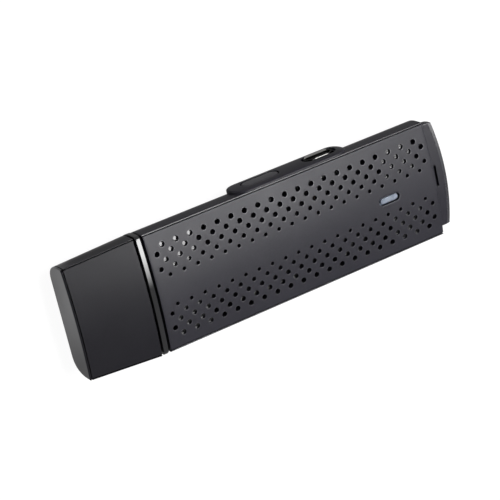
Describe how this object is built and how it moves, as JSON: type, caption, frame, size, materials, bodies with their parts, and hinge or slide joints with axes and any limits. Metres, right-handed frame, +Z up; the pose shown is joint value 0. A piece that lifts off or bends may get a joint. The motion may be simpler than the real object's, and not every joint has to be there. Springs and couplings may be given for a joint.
{
  "type": "wireless display dongle",
  "caption": "Slim stick with a perforated cover, a display plug under a pull-off cap, a glossy collar, a side button and a power port in a raised pod.",
  "frame": {"origin": "centre of the underside, under the middle of the whole envelope", "axes": "+X along the stick towards the plug and its cap, +Z up through the perforated cover, the pod with the button and the port faces -Y"},
  "size_m": [0.1006, 0.0298, 0.01],
  "materials": {
    "case_plastic": "fine matte",
    "cover_plastic": "fine textured matte",
    "gloss_ring": "polished black",
    "cap_plastic": "satin black",
    "lens": "milky translucent",
    "led_body": "clear resin",
    "button_plastic": "satin",
    "black_resin": "moulded",
    "white_resin": "moulded",
    "tin": "tinned",
    "port_steel": "nickel plated",
    "gold": "gold plated",
    "plug_steel": "nickel plated",
    "board": "black solder mask",
    "chip_resin": "moulded",
    "ferrite": "sintered",
    "ceramic": "sintered",
    "gap_pad": "soft",
    "spreader": "black anodised",
    "brass_strip": "plated",
    "screw_steel": "black zinc",
    "label": "blank film"
  },
  "bodies": {
    "stick": {"bottom_case": "case_plastic", "top_cover": "cover_plastic", "end_piece": "case_plastic", "trim_ring": "gloss_ring", "status_lens": "lens", "status_led": "led_body", "switch_body": "black_resin", "switch_legs": "tin", "port_shell": "port_steel", "port_tongue": "black_resin", "port_contacts": "gold", "plug_shell": "plug_steel", "plug_insulator": "black_resin", "plug_contacts": "gold", "main_board": "board", "processor_chip": "chip_resin", "memory_chip": "chip_resin", "flash_chip": "chip_resin", "radio_board": "board", "radio_shield": "tin", "clock_crystal": "tin", "power_coils": "ferrite", "capacitors": "ceramic", "shield_frame": "tin", "shield_lid": "tin", "thermal_pad": "gap_pad", "chip_pad": "gap_pad", "heat_spreader": "spreader", "antenna_a": "brass_strip", "antenna_b": "brass_strip", "board_screws": "screw_steel", "rating_label": "label"},
    "cap": {"plug_cap": "cap_plastic"},
    "button": {"side_button": "button_plastic"},
    "plunger": {"switch_plunger": "white_resin"}
  },
  "joints": [
    {"name": "cap_slide", "type": "slide", "parent": "stick", "child": "cap", "axis": [1, 0, 0], "range_m": [0, 0.03]},
    {"name": "button_press", "type": "slide", "parent": "stick", "child": "button", "axis": [0, 1, 0], "range_m": [0, 0.0003], "stiffness_N_per_m": 600},
    {"name": "plunger_press", "type": "slide", "parent": "stick", "child": "plunger", "axis": [0, 1, 0], "range_m": [0, 0.0003]}
  ],
  "couplings": [
    {"joint": "plunger_press", "follows": "button_press", "ratio": 1}
  ]
}
